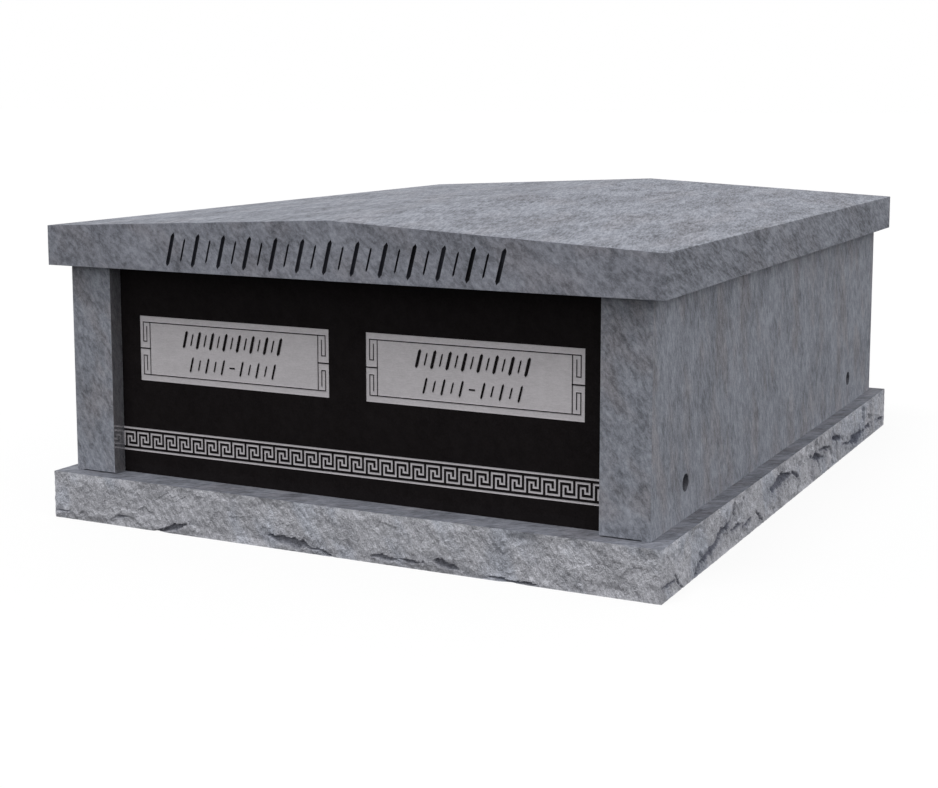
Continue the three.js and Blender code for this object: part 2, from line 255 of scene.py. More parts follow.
class StrokeSettings(PropertyGroup):
    """Rows of slanted strokes on the roof and the plates"""
    lean: share("Lean", "Sideways run for each unit of height", 0.25)
    tip: share("Tip", "Length of a pointed end as a share of the height", 0.1)
    short: share("Short", "Height of a narrow stroke as a share of the row's", 0.7)
    depth: length("Depth", "Depth of the strokes cut into the roof", 0.006)
    floor_share: share("Floor", "Width at the bottom of a cut stroke as a share of its mouth", 0.35)


class PanelSettings(PropertyGroup):
    """Blasted work on the black front panel"""
    blast_depth: length("Blast depth", "Depth of the blasted work below the polish", 0.0015)
    plate_width: length("Plate width", "Width of a blasted plate", 0.702)
    plate_height: length("Plate height", "Height of a blasted plate", 0.208)
    plate_drop: length("Plate drop", "Top of a plate below the panel's top", 0.159)
    left_margin: length("Left margin", "Left plate's distance from the left wall", 0.076)
    right_margin: length("Right margin", "Right plate's distance from the right wall", 0.066)
    line_width: length("Line width", "Width of a line left polished", 0.003)
    band_drop: length("Band drop", "Top of the key band below the panel's top", 0.524)
    band_height: length("Band height", "Height of the key band", 0.0775)
    band_trim: length("Band trim", "How far the band's lines keep back from their cells' edges", 0.00045)


class StoneSettings(PropertyGroup):
    """Colours of the stone"""
    wall_dark: colour("Wall dark", "Dark blotches of the walls' sawn granite", (0.091, 0.098, 0.116))
    wall_light: colour("Wall light", "Light fibres of the walls' sawn granite", (0.451, 0.473, 0.542))
    roof_dark: colour("Roof dark", "Dark blotches of the roof's sawn granite", (0.058, 0.061, 0.072))
    roof_light: colour("Roof light", "Light fibres of the roof's sawn granite", (0.416, 0.437, 0.505))
    gable_dark: colour("Gable dark", "Dark blotches of the roof's front and back", (0.086, 0.090, 0.106))
    gable_light: colour("Gable light", "Light fibres of the roof's front and back", (0.400, 0.416, 0.480))
    ledge_dark: colour("Ledge dark", "Dark streaks of the base's sawn top", (0.050, 0.053, 0.063))
    ledge_light: colour("Ledge light", "Light streaks of the base's sawn top", (0.370, 0.385, 0.445))
    sawn_tint: colour("Sawn tint", "Stain of the brownish clouds in the sawn granite", (1.0, 0.94, 0.90))
    rock_dark: colour("Rock dark", "Dark grain of the broken granite", (0.256, 0.258, 0.287))
    rock_light: colour("Rock light", "Light grain of the broken granite", (0.782, 0.787, 0.845))
    rock_tint: colour("Rock tint", "Stain of the bluish clouds in the broken granite", (0.80, 0.89, 1.0))
    # painted shade: this colour darkens the broken granite in and round the hollows
    rock_hollow_shade: colour("Rock hollow", "Stain of the stone in the hollows", (0.30, 0.31, 0.35))
    honed_dark: colour("Polished dark", "Dark blotches of the polished returns", (0.086, 0.086, 0.096))
    honed_light: colour("Polished light", "Light fibres of the polished returns", (0.262, 0.262, 0.285))
    black_dark: colour("Black dark", "Ground of the black granite", (0.0080, 0.0066, 0.0070))
    black_light: colour("Black light", "Grain of the black granite", (0.0168, 0.0144, 0.0151))
    blast_dark: colour("Blasted dark", "Streaks of the blasted work", (0.520, 0.500, 0.520))
    blast_light: colour("Blasted light", "Ground of the blasted work", (0.700, 0.672, 0.700))
    # painted shade: the bore's colours are darkened to stand for the shade inside a vent
    bore_shade_dark: colour("Bore dark", "Dark blotches of the damp stone in a vent", (0.042, 0.044, 0.056))
    bore_shade_light: colour("Bore light", "Light fibres of the damp stone in a vent", (0.220, 0.226, 0.258))
    paint: colour("Stroke paint", "Paint in the roof's strokes", (0.008, 0.009, 0.014))
    paint_light: colour("Worn paint", "Worn places in the strokes' paint", (0.030, 0.032, 0.042))


class StageSettings(PropertyGroup):
    """Floor, light and camera"""
    floor: colour("Floor", "Pale studio floor", (0.10, 0.10, 0.10))
    floor_lift: share("Floor lift", "How far the floor's own shadows are lifted", 0.90)
    floor_bounce: share("Floor bounce", "How much light the floor throws back on the stone", 0.08)
    floor_reach: length("Floor reach", "Half the width of the floor", 120.0)
    sky_strength: FloatProperty(name="Sky", description="Strength of the soft light from all round",
                                default=0.79)
    front_strength: FloatProperty(name="Front light", description="Strength of the high light in front",
                                  default=0.98)
    front_from: FloatVectorProperty(name="Front light from", description="Direction of the high light",
                                    subtype="DIRECTION", default=(-0.15, -0.375, 0.927))
    front_width: FloatProperty(name="Front light width", description="Angle that the high light fills",
                               subtype="ANGLE", unit="ROTATION", default=math.radians(20))
    side_strength: FloatProperty(name="Side light", description="Strength of the low light on the right",
                                 default=0.68)
    side_from: FloatVectorProperty(name="Side light from", description="Direction of the low light",
                                   subtype="DIRECTION", default=(1.0, 0.0, 0.2))
    side_width: FloatProperty(name="Side light width", description="Angle that the low light fills",
                              subtype="ANGLE", unit="ROTATION", default=math.radians(70))
    eye: FloatVectorProperty(name="Eye", description="Place of the camera", subtype="TRANSLATION",
                             unit="LENGTH", default=(2.47476, -5.38013, 1.36116))
    yaw: FloatProperty(name="Yaw", description="Turn of the camera to the left of straight ahead",
                       subtype="ANGLE", unit="ROTATION", default=math.radians(26.5493))
    tilt: FloatProperty(name="Tilt", description="Tilt of the camera below level", subtype="ANGLE",
                        unit="ROTATION", default=math.radians(7.2404))
    lens: FloatProperty(name="Lens", description="Focal length", subtype="DISTANCE_CAMERA",
                        unit="CAMERA", default=62.383)
    rise: FloatProperty(name="Rise", description="Vertical shift of the frame", default=-0.0977)


class MausoleumSettings(PropertyGroup):
    """All the settings of the mausoleum"""
    slab: PointerProperty(type=SlabSettings)
    rock: PointerProperty(type=RockSettings)
    stroke: PointerProperty(type=StrokeSettings)
    panel: PointerProperty(type=PanelSettings)
    stone: PointerProperty(type=StoneSettings)
    stage: PointerProperty(type=StageSettings)


# Wiring of materials

def plug(tree, socket, value):
    """Links a socket to another, or sets its value."""
    if isinstance(value, bpy.types.NodeSocket):
        tree.links.new(value, socket)
    else:
        socket.default_value = value


def add_node(tree, kind, inputs=None, **settings):
    """Adds a node with its settings, and plugs each named or numbered input."""
    node = tree.nodes.new(kind)
    for name, value in settings.items():
        setattr(node, name, value)
    for name, value in (inputs or {}).items():
        plug(tree, node.inputs[name], value)
    return node


def noise_at(tree, vector, scale, detail, roughness=0.55, distortion=0.0):
    """A noise value with so many waves to the metre."""
    inputs = {"Vector": vector, "Scale": scale, "Detail": detail, "Roughness": roughness,
              "Distortion": distortion}
    return add_node(tree, "ShaderNodeTexNoise", inputs).outputs[0]


def remap(tree, value, low, high, to_low=0.0, to_high=1.0):
    """A value stretched from one range to another, smoothly at its ends."""
    inputs = {0: value, 1: low, 2: high, 3: to_low, 4: to_high}
    return add_node(tree, "ShaderNodeMapRange", inputs, interpolation_type="SMOOTHSTEP").outputs[0]


# A Mix node has sockets of the same names for each kind of data, so they are picked by number

def mix_colour(tree, factor, first, second, blend="MIX"):
    """A colour between two others."""
    return add_node(tree, "ShaderNodeMix", {0: factor, 6: first, 7: second}, data_type="RGBA",
                    blend_type=blend).outputs[2]


def mix_value(tree, factor, first, second):
    """A value between two others."""
    return add_node(tree, "ShaderNodeMix", {0: factor, 2: first, 3: second}, data_type="FLOAT").outputs[0]


def times(tree, first, second):
    """The product of two values."""
    return add_node(tree, "ShaderNodeMath", {0: first, 1: second}, operation="MULTIPLY").outputs[0]


def squeeze(tree, vector, factor):
    """A vector with its Z made longer, so that a pattern is squeezed across the bedding."""
    scale = add_node(tree, "ShaderNodeCombineXYZ", {"X": 1.0, "Y": 1.0, "Z": factor}).outputs[0]
    return add_node(tree, "ShaderNodeVectorMath", {0: vector, 1: scale}, operation="MULTIPLY").outputs[0]


def new_group(name, inputs, outputs):
    """An empty shader node group with its sockets, its input node and its output node."""
    group = bpy.data.node_groups.new(name, "ShaderNodeTree")
    for socket, kind in inputs:
        group.interface.new_socket(name=socket, in_out="INPUT", socket_type=kind)
    for socket, kind in outputs:
        group.interface.new_socket(name=socket, in_out="OUTPUT", socket_type=kind)
    return group, group.nodes.new("NodeGroupInput"), group.nodes.new("NodeGroupOutput")


def granite_grain():
    """Grain of bedded granite: fibres, blotches, clouds and crystals, and a tint in soft patches.

    Vector has its Z across the bedding, in metres. Stretch is the length of a fibre for its width, and
    Crystal the share of the tone that the crystals have.
    """
    name = "Granite grain"
    if name in bpy.data.node_groups:
        return bpy.data.node_groups[name]
    inputs = (("Vector", "NodeSocketVector"), ("Dark", "NodeSocketColor"), ("Light", "NodeSocketColor"),
              ("Tint", "NodeSocketColor"), ("Tinting", "NodeSocketFloat"), ("Stretch", "NodeSocketFloat"),
              ("Crystal", "NodeSocketFloat"))
    outputs = (("Color", "NodeSocketColor"), ("Tone", "NodeSocketFloat"), ("Height", "NodeSocketFloat"))
    group, given, result = new_group(name, inputs, outputs)
    place = given.outputs["Vector"]
    fibred = squeeze(group, place, given.outputs["Stretch"])
    blotched = squeeze(group, place, BLOTCH_SQUEEZE)
    clotted = squeeze(group, place, CLOT_SQUEEZE)

    def spots(vector, low=0.3, high=0.7, **waves):
        """Light spots from noise: a low value is dark, a high one is light."""
        return remap(group, noise_at(group, vector, **waves), low, high)

    fibre = spots(fibred, scale=40.0, detail=3.0, roughness=0.6, distortion=0.4)
    blotch = spots(blotched, scale=20.0, detail=4.0, roughness=0.6, distortion=0.3)
    cloud = spots(clotted, scale=6.0, detail=2.0, low=0.34, high=0.66)
    crystal = spots(clotted, scale=190.0, detail=2.0)
    patch = spots(blotched, scale=4.0, detail=2.0, low=0.47, high=0.66)
    veined = mix_value(group, BLOTCH_SHARE, fibre, blotch)
    clouded = mix_value(group, CLOUD_SHARE, veined, cloud)
    tone = mix_value(group, given.outputs["Crystal"], clouded, crystal)
    stone = mix_colour(group, tone, given.outputs["Dark"], given.outputs["Light"])
    stain_and_shade = times(group, patch, given.outputs["Tinting"])
    stained = mix_colour(group, stain_and_shade, stone, given.outputs["Tint"], "MULTIPLY")
    plug(group, result.inputs["Color"], stained)
    plug(group, result.inputs["Tone"], tone)
    plug(group, result.inputs["Height"], mix_value(group, CRYSTAL_RELIEF, fibre, crystal))
    return group


def across_bedding(tree, bedding, offset, run):
    """Object coordinates turned so that Z is across the bedding, and moved so that slabs differ."""
    place = add_node(tree, "ShaderNodeTexCoord").outputs["Object"]
    turn = bedding.rotation_difference(UP).to_euler()
    inputs = {"Vector": place, "Rotation": turn, "Location": offset, "Scale": run}
    return add_node(tree, "ShaderNodeMapping", inputs).outputs[0]


def granite(name, bedding, offset, run=EVEN_RUN, **grain_values):
    """A material with its shader and the granite grain as its base colour."""
    material = bpy.data.materials.new(name)
    material.use_nodes = True
    tree = material.node_tree
    shader = tree.nodes["Principled BSDF"]
    grain = add_node(tree, "ShaderNodeGroup", node_tree=granite_grain())
    plug(tree, grain.inputs["Vector"], across_bedding(tree, bedding, offset, run))
    for socket, value in grain_values.items():
        plug(tree, grain.inputs[socket.capitalize()], value)
    plug(tree, shader.inputs["Base Color"], grain.outputs["Color"])
    return material, tree, shader, grain


def set_roughness(tree, shader, grain, dark, light):
    """Roughness from that of the dark grain to that of the light grain."""
    plug(tree, shader.inputs["Roughness"], remap(tree, grain.outputs["Tone"], 0.0, 1.0, dark, light))


def add_bump(tree, shader, height, depth, strength):
    """Fine relief from a height value; depth is the height's full swing in metres."""
    bump = add_node(tree, "ShaderNodeBump", {"Height": height, "Distance": depth, "Strength": strength})
    plug(tree, shader.inputs["Normal"], bump.outputs["Normal"])


def sawn_granite(name, bedding, offset, run=EVEN_RUN, **grain_values):
    """Granite with the sheen and the fine relief of a sawn face."""
    material, tree, shader, grain = granite(name, bedding, offset, run, **grain_values)
    set_roughness(tree, shader, grain, dark=0.74, light=0.58)
    shader.inputs["Specular IOR Level"].default_value = 0.2
    add_bump(tree, shader, grain.outputs["Height"], depth=0.0004, strength=0.5)
    return material


def wall_granite(name, stone, offset, bedding=WALL_BEDDING, run=EVEN_RUN, stretch=WALL_STRETCH):
    """Sawn blue-grey granite of the walls."""
    return sawn_granite(name, bedding, offset, run, dark=stone.wall_dark, light=stone.wall_light,
                        tint=stone.sawn_tint, tinting=0.9, stretch=stretch, crystal=0.20)


def roof_granite(name, stone, offset):
    """Sawn granite of the roof, a little darker than the walls."""
    return sawn_granite(name, ROOF_BEDDING, offset, ROOF_RUN, dark=stone.roof_dark, light=stone.roof_light,
                        tint=stone.sawn_tint, tinting=0.35, stretch=5.0, crystal=0.18)


def gable_granite(name, stone, offset):
    """The same granite on the roof's front and back, where the fibres show shorter and softer."""
    return sawn_granite(name, GABLE_BEDDING, offset, END_RUN, dark=stone.gable_dark,
                        light=stone.gable_light, tint=stone.sawn_tint, tinting=0.5,
                        stretch=END_STRETCH, crystal=0.18)


def ledge_granite(name, stone, offset):
    """Sawn granite of the base's top, with stronger streaks."""
    return sawn_granite(name, LEDGE_BEDDING, offset, dark=stone.ledge_dark, light=stone.ledge_light,
                        tint=stone.sawn_tint, tinting=0.5, stretch=5.0, crystal=0.12)


def bore_shade_granite(name, stone, offset):
    """Drilled granite of a vent, darkened as painted shade inside the bore."""
    return sawn_granite(name, WALL_BEDDING, offset, dark=stone.bore_shade_dark, light=stone.bore_shade_light,
                        tint=stone.sawn_tint, tinting=0.5, stretch=3.0, crystal=0.3)


def polished_granite(name, stone, offset):
    """The walls' granite polished, which darkens it and makes it mirror the panel."""
    material, tree, shader, grain = granite(
        name, WALL_BEDDING, offset, dark=stone.honed_dark, light=stone.honed_light, tint=stone.sawn_tint,
        tinting=0.5, stretch=5.0, crystal=0.25)
    set_roughness(tree, shader, grain, dark=0.0, light=0.02)
    shader.inputs["IOR"].default_value = 2.8
    return material


def rock_granite(name, stone, offset):
    """Broken granite, paler than the sawn faces, with painted shade in and round its hollows."""
    material, tree, shader, grain = granite(
        name, ROCK_BEDDING, offset, dark=stone.rock_dark, light=stone.rock_light, tint=stone.rock_tint,
        tinting=0.35, stretch=2.4, crystal=0.38)
    # painted shade: the hollow attribute darkens the colour in and round the hollows
    hollow = add_node(tree, "ShaderNodeAttribute", attribute_name="hollow").outputs["Fac"]
    shaded = mix_colour(tree, hollow, grain.outputs["Color"], stone.rock_hollow_shade, "MULTIPLY")
    plug(tree, shader.inputs["Base Color"], shaded)
    set_roughness(tree, shader, grain, dark=0.95, light=0.8)
    shader.inputs["Specular IOR Level"].default_value = 0.15
    add_bump(tree, shader, grain.outputs["Height"], depth=0.0022, strength=0.9)
    return material


def black_granite(name, stone):
    """Polished black granite with a faint fine grain."""
    material, tree, shader, grain = granite(
        name, WALL_BEDDING, PANEL_PLACE, dark=stone.black_dark, light=stone.black_light,
        tint=stone.black_light, tinting=0.0, stretch=1.7, crystal=0.4)
    set_roughness(tree, shader, grain, dark=0.06, light=0.12)
    shader.inputs["Specular IOR Level"].default_value = 0.06
    return material


def blasted_granite(name, stone):
    """Black granite blasted to an even pale grey, with faint level streaks."""
    material, tree, shader, grain = granite(
        name, UP, PANEL_PLACE, dark=stone.blast_dark, light=stone.blast_light,
        tint=stone.blast_light, tinting=0.0, stretch=9.0, crystal=0.3)
    set_roughness(tree, shader, grain, dark=0.9, light=0.78)
    shader.inputs["Specular IOR Level"].default_value = 0.15
    add_bump(tree, shader, grain.outputs["Height"], depth=0.0002, strength=0.4)
    return material


def stroke_paint(name, stone):
    """Dark paint over the stone in the bottom of a stroke."""
    material, tree, shader, grain = granite(
        name, WALL_BEDDING, PANEL_PLACE, dark=stone.paint, light=stone.paint_light,
        tint=stone.paint, tinting=0.9, stretch=2.0, crystal=0.3)
    set_roughness(tree, shader, grain, dark=0.7, light=0.5)
    shader.inputs["Specular IOR Level"].default_value = 0.2
    add_bump(tree, shader, grain.outputs["Height"], depth=0.0003, strength=0.4)
    return material


# Building of pieces

def box_between(low, high):
    """A closed box between two corners."""
    shape = bmesh.new()
    place = Matrix.Translation((low + high) / 2) @ Matrix.Diagonal((*(high - low), 1.0))
    bmesh.ops.create_cube(shape, size=1.0, matrix=place)
    return shape


def ease_arrises(shape, width):
    """Rounds every edge where two faces meet at more than a slight angle."""
    sharp = [edge for edge in shape.edges if edge.calc_face_angle() > ARRIS_ANGLE]
    bmesh.ops.bevel(shape, geom=sharp, offset=width, offset_type="OFFSET", affect="EDGES",
                    segments=ARRIS_SEGMENTS, profile=0.5, material=-1)


def add_object(name, shape, finishes):
    """Puts a finished shape in the scene with its materials."""
    bmesh.ops.recalc_face_normals(shape, faces=shape.faces)
    mesh = bpy.data.meshes.new(name)
    shape.to_mesh(mesh)
    shape.free()
    for finish in finishes:
        mesh.materials.append(finish)
    thing = bpy.data.objects.new(name, mesh)
    bpy.context.scene.collection.objects.link(thing)
    return thing


def fit(piece, node):
    """Lets a piece stand for its slab in the frame."""
    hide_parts(node)
    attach(piece, "root")


def carve(piece, cutter):
    """Cuts a shape out of a piece. The cut's faces keep the cutter's finish."""
    cut = piece.modifiers.new("cut", "BOOLEAN")
    cut.operation = "DIFFERENCE"
    cut.solver = "EXACT"
    cut.material_mode = "TRANSFER"
    cut.use_self = True
    cut.object = cutter
    depsgraph = bpy.context.evaluated_depsgraph_get()
    carved = bpy.data.meshes.new_from_object(piece.evaluated_get(depsgraph))
    uncut = piece.data
    piece.modifiers.clear()
    piece.data = carved
    carved.name = piece.name
    bpy.data.meshes.remove(uncut)
    bpy.data.meshes.remove(cutter.data)


def prism(shape, outline, back, front):
    """Adds a closed prism: an outline in the X-Z plane run along Y. Gives its back corners."""
    face = shape.faces.new([shape.verts.new((x, front, z)) for x, z in outline])
    run = bmesh.ops.extrude_face_region(shape, geom=[face])
    corners = [part for part in run["geom"] if isinstance(part, bmesh.types.BMVert)]
    bmesh.ops.translate(shape, vec=(0.0, back - front, 0.0), verts=corners)
    return corners


def bar(shape, low, high, back, front):
    """Adds a prism with a rectangle for its outline."""
    prism(shape, ((low[0], low[1]), (high[0], low[1]), (high[0], high[1]), (low[0], high[1])), back, front)


def add_stroke(shape, settings, place, width, height, back, front, floor_share=1.0):
    """Adds one slanted stroke with pointed ends. Its floor may be narrower than its mouth."""
    half = height / 2
    shoulder = half - height * settings.tip
    outline = ((-width / 2, -shoulder), (0.0, -half), (width / 2, -shoulder),
               (width / 2, shoulder), (0.0, half), (-width / 2, shoulder))
    before = set(shape.verts)
    corners = prism(shape, outline, back, front)
    bmesh.ops.scale(shape, vec=(floor_share, 1.0, 1.0), verts=corners)
    slant = Matrix(((1.0, 0.0, settings.lean, place[0]), (0.0, 1.0, 0.0, 0.0),
                    (0.0, 0.0, 1.0, place[1]), (0.0, 0.0, 0.0, 1.0)))
    bmesh.ops.transform(shape, matrix=slant, verts=[vert for vert in shape.verts if vert not in before])


def add_stroke_row(shape, settings, row, place, back, front, floor_share=1.0):
    """Adds a row of strokes, in turn wide and tall, and narrow and short."""
    run = row.length - row.wide - settings.lean * row.height
    for i in range(row.count):
        middle = (place[0] + run * (i / (row.count - 1) - 0.5), place[1])
        width, height = (row.wide, row.height) if i % 2 == 0 else (row.narrow, row.height * settings.short)
        add_stroke(shape, settings, middle, width, height, back, front, floor_share)


# Base

def smooth(value):
    """A smooth step from 0 to 1."""
    value = min(1.0, max(0.0, value))
    return value * value * (3 - 2 * value)


def hollow_at(hollow, along, height, fray):
    """Depth of a hollow at a place on its face, and the painted shade in and round it.

    Fray moves the hollow's outline by a share of half its drop.
    """
    reach = (along - hollow.start) / (hollow.end - hollow.start)
    ends = min(1.0, reach / HOLLOW_TAPER, (1 - reach) / HOLLOW_TAPER)
    middle = hollow.lip_start + (hollow.lip_end - hollow.lip_start) * reach - hollow.drop / 2
    rise = (height - middle) / (hollow.drop / 2)
    inside = ends - abs(rise) + fray
    if inside < -HALO_REACH:
        return 0.0, 0.0
    upper = smooth(rise + 0.5)  # 0 towards the foot, 1 towards the lip
    slope = HOLLOW_FOOT + (HOLLOW_LIP - HOLLOW_FOOT) * upper
    depth = hollow.depth * smooth(inside / slope)
    # painted shade: darkest in the hollow, and a little round it
    halo = HALO_SHADE * smooth((inside + HALO_REACH) / HALO_REACH)
    return depth, max(halo, smooth(depth / HOLLOW_DARKEST))


def facet_height(spot, size, slope):
    """Height of a broken facet: each cell of a pattern leans its own way about its middle."""
    middle = noise.voronoi(spot / size)[1][0]
    lean = noise.noise_vector(middle * LEAN_SPREAD)
    return slope * size * lean.dot(spot / size - middle)


def broken(settings, face, along, height, size, octaves):
    """A broken-up value at a place on a face, drawn out down to the right as the chips are."""
    down = along * math.cos(CHIP_FALL) - height * math.sin(CHIP_FALL)
    across = along * math.sin(CHIP_FALL) + height * math.cos(CHIP_FALL)
    place = Vector((down / settings.chip_stretch, across, face.phase)) / size
    return noise.fractal(place, BREAK_DECAY, BREAK_STEP, octaves)


def rock_relief(settings, face, along, height, spot):
    """How far a rock-pitched face stands out from the plane of its edges, and how much painted shade it has
    in and round its hollows.
    """
    ends = min(along, face.length - along, BASE_TOP - height)
    fade = min(1.0, min(ends, height) / settings.edge_run)
    swell = 0.0
    for wave in ROCK_WAVES:
        turns = (along + wave.lean * height) / wave.length + face.phase
        swell += wave.height * math.sin(2 * math.pi * turns)
    slope = settings.facet_slope * face.boldness
    swell += facet_height(spot, settings.facet_size, slope)
    swell += facet_height(spot + UP, settings.facet_size / FACET_STEP, slope)
    wander = noise.turbulence_vector(spot * WANDER_WAVES, WANDER_OCTAVES, False) * settings.lip_wander
    fray = settings.fray * broken(settings, face, along, height, settings.fray_size, FRAY_OCTAVES)
    reach = along + wander.x + wander.y
    hollows = [hollow_at(hollow, reach, height + wander.z, fray) for hollow in face.hollows]
    depth = max(depth for depth, stain_and_shade in hollows) * min(1.0, ends / settings.edge_run)
    # painted shade of the hollows, scaled for each face
    stain_and_shade = max(stain_and_shade for depth, stain_and_shade in hollows) * face.shade
    chips = broken(settings, face, along, height, settings.chip_size, CHIP_OCTAVES)
    chips *= settings.chip_height * min(1.0, CHIP_HOLD * fade)
    return fade * min(swell, settings.proud) + chips - depth, stain_and_shade


def base_slab(settings):
    """The base: four broken faces on fine grids, closed by the sawn top and underside."""
    half_x = ROOF_HIGH.x + settings.stand_out
    half_y = ROOF_HIGH.y + settings.stand_out
    front = {"length": 2 * half_x, "boldness": FRONT_BOLDNESS, "shade": FRONT_SHADE, "hollows": FRONT_HOLLOWS}
    side = {"length": 2 * half_y, "boldness": SIDE_BOLDNESS, "shade": SIDE_SHADE, "hollows": SIDE_HOLLOWS}
    faces = (
        RockFace(corner=(-half_x, -half_y), run=(1, 0), phase=0.10, **front),
        RockFace(corner=(half_x, -half_y), run=(0, 1), phase=0.35, **side),
        RockFace(corner=(half_x, half_y), run=(-1, 0), phase=0.60, **front),
        RockFace(corner=(-half_x, half_y), run=(0, -1), phase=0.85, **side),
    )
    noise.seed_set(ROCK_SEED)
    shape = bmesh.new()
    # the hollow attribute carries the painted shade in and round the hollows
    hollow_shade_layer = shape.verts.layers.float.new("hollow")
    for face in faces:
        corner = Vector((*face.corner, 0.0))
        run = Vector((*face.run, 0.0))
        out = run.cross(UP)
        middle = corner + run * face.length / 2 + UP * BASE_TOP / 2
        axes = Matrix((run * face.length, UP * BASE_TOP, out)).transposed().to_4x4()
        grid = bmesh.ops.create_grid(
            shape, x_segments=round(face.length / settings.cell), y_segments=round(BASE_TOP / settings.cell),
            size=0.5, matrix=Matrix.Translation(middle) @ axes)
        for vert in grid["verts"]:
            spot = vert.co.copy()
            along = (spot - corner).dot(run)
            relief, stain_and_shade = rock_relief(settings, face, along, spot.z, spot)
            vert.co += out * relief
            vert[hollow_shade_layer] = stain_and_shade
    bmesh.ops.remove_doubles(shape, verts=shape.verts, dist=TOUCHING)
    for vert in shape.verts:
        wander = noise.noise_vector(vert.co * RAGGED_WAVES) * settings.ragged
        vert.co += Vector((wander.x, wander.y, 0.0))
    rims = [edge for edge in shape.edges if edge.is_boundary]
    bmesh.ops.edgeloop_fill(shape, edges=rims, mat_nr=BASE_SAWN)
    return shape


# Walls

def vent_cutter(settings, y):
    """A round cutter through both side walls, flared a little where it meets each face."""
    radius = settings.vent_diameter / 2
    wide = radius + settings.vent_flare
    outside = WALL_HIGH.x
    inside = WALL_LOW.x
    profile = ((inside - CUT_OVERRUN, 0.0), (inside - CUT_OVERRUN, wide), (inside, wide),
               (inside + settings.vent_flare, radius), (outside - settings.vent_flare, radius),
               (outside, wide), (outside + CUT_OVERRUN, wide), (outside + CUT_OVERRUN, 0.0))
    shape = bmesh.new()
    axis = Vector((0.0, y, BASE_TOP + settings.vent_rise))
    corners = [shape.verts.new(axis + Vector((x, 0.0, r))) for x, r in profile]
    edges = [shape.edges.new(pair) for pair in zip(corners, corners[1:])]
    bmesh.ops.spin(shape, geom=corners + edges, cent=axis, axis=(1.0, 0.0, 0.0), angle=2 * math.pi,
                   steps=VENT_SIDES, use_merge=True)
    bmesh.ops.remove_doubles(shape, verts=shape.verts, dist=TOUCHING)
    return shape


def side_wall(name, node, settings, stone, offset):
    """A side wall, its inner face polished in front of the panel, with its two vents."""
    low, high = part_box(node)
    shape = box_between(low, high)
    ease_arrises(shape, settings.wall_arris)
    everything = shape.verts[:] + shape.edges[:] + shape.faces[:]
    bmesh.ops.bisect_plane(shape, geom=everything, plane_co=(0.0, PANEL_LOW.y, 0.0), plane_no=(0.0, 1.0, 0.0))
    inner = low.x if low.x > 0 else high.x
    for face in shape.faces:
        middle = face.calc_center_median()
        if abs(middle.x - inner) < settings.wall_arris / 2 and middle.y < PANEL_LOW.y:
            face.material_index = WALL_RETURN
        elif abs(face.normal.y) > FACING:
            face.material_index = WALL_END
    finishes = (wall_granite(name + "_sawn", stone, offset),
                polished_granite(name + "_return", stone, offset),
                wall_granite(name + "_end", stone, offset, END_BEDDING, END_RUN, END_STRETCH))
    bore = bore_shade_granite(name + "_bore", stone, offset)
    wall = add_object(name, shape, finishes)
    joint_low = Vector((low.x, low.y - CUT_OVERRUN, low.z - CUT_OVERRUN))
    joint_high = Vector((high.x, low.y + settings.joint_depth, low.z + settings.joint_height))
    if low.x > 0:
        joint_low.x -= CUT_OVERRUN
        joint_high.x -= settings.joint_stop
    else:
        joint_low.x += settings.joint_stop
        joint_high.x += CUT_OVERRUN
    carve(wall, add_object("joint_cutter", box_between(joint_low, joint_high), finishes[:1]))
    for y in (low.y + settings.vent_from_front, high.y - settings.vent_from_back):
        cutter = vent_cutter(settings, y)
        if low.x < 0:
            bmesh.ops.scale(cutter, vec=(-1.0, 1.0, 1.0), verts=cutter.verts)
        carve(wall, add_object("vent_cutter", cutter, [bore]))
    fit(wall, node)


def back_wall(settings, stone):
    """The plain slab that closes the back."""
    shape = box_between(*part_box("back_wall"))
    ease_arrises(shape, settings.back_arris)
    wall = add_object("back_end_wall", shape, [wall_granite("back_end_wall_sawn", stone, BACK_WALL_PLACE)])
    fit(wall, "back_wall")


# Front panel

def sign(value):
    """The direction of a number: -1, 0 or 1."""
    return (value > 0) - (value < 0)


def key_cells():
    """Cells of the key band, as columns from the panel's left edge and rows from its foot."""
    units = math.ceil(KEY_CELLS_ACROSS / KEY_UNIT_CELLS)
    line = [(-KEY_SPARE, 0)]
    for unit in range(units):
        line += [(unit * KEY_UNIT_CELLS + column, row) for column, row in KEY_UNIT]
    line.append((units * KEY_UNIT_CELLS, 0))
    cells = set()
    for (column, row), (next_column, next_row) in zip(line, line[1:]):
        steps = max(abs(next_column - column), abs(next_row - row))
        for i in range(steps + 1):
            cells.add((column + i * sign(next_column - column),
                       row + i * sign(next_row - row) + KEY_FOOT_ROW))
    for column in range(-KEY_SPARE, KEY_CELLS_ACROSS + KEY_SPARE):
        cells.add((column, 0))
        cells.add((column, KEY_BAND_CELLS - 1))
    return cells


